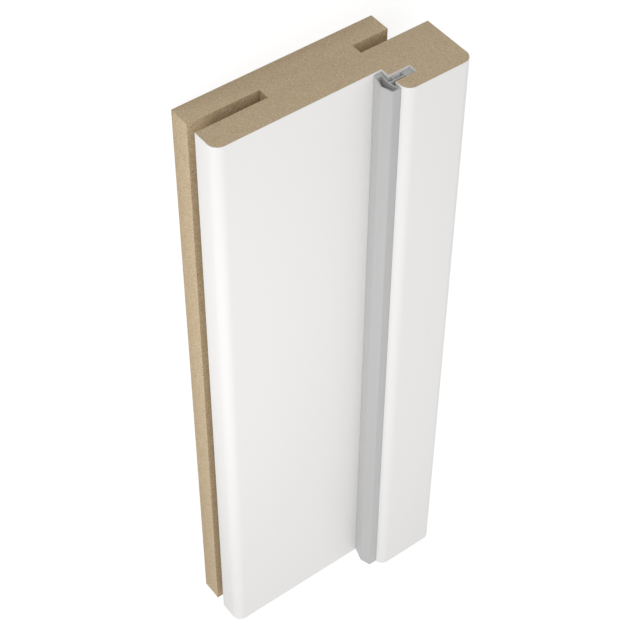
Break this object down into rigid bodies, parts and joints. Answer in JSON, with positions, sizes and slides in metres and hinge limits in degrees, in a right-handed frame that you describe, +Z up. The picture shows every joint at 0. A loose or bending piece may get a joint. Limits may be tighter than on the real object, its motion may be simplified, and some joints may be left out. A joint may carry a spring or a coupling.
{
  "type": "door jamb",
  "caption": "Short length of rebated fibreboard door jamb with white-filmed show faces, a casing groove along each edge and a hollow grey seal pressed into the side of its stop.",
  "frame": {"origin": "on the floor under the middle of the jamb's box, as it lies on its back face", "axes": "+X across the section from the stop to the door side, +Y along the length from the near cut end to the far one, +Z up from the back face to the show faces"},
  "size_m": [0.07, 0.2, 0.028],
  "materials": {
    "raw_mdf": "raw, sawn and milled",
    "white_film": "satin",
    "grey_seal": "matte"
  },
  "bodies": {
    "root": {"mdf_jamb": "raw_mdf", "rebate_film": "white_film", "stop_film": "white_film", "door_seal": "grey_seal"}
  },
  "joints": []
}
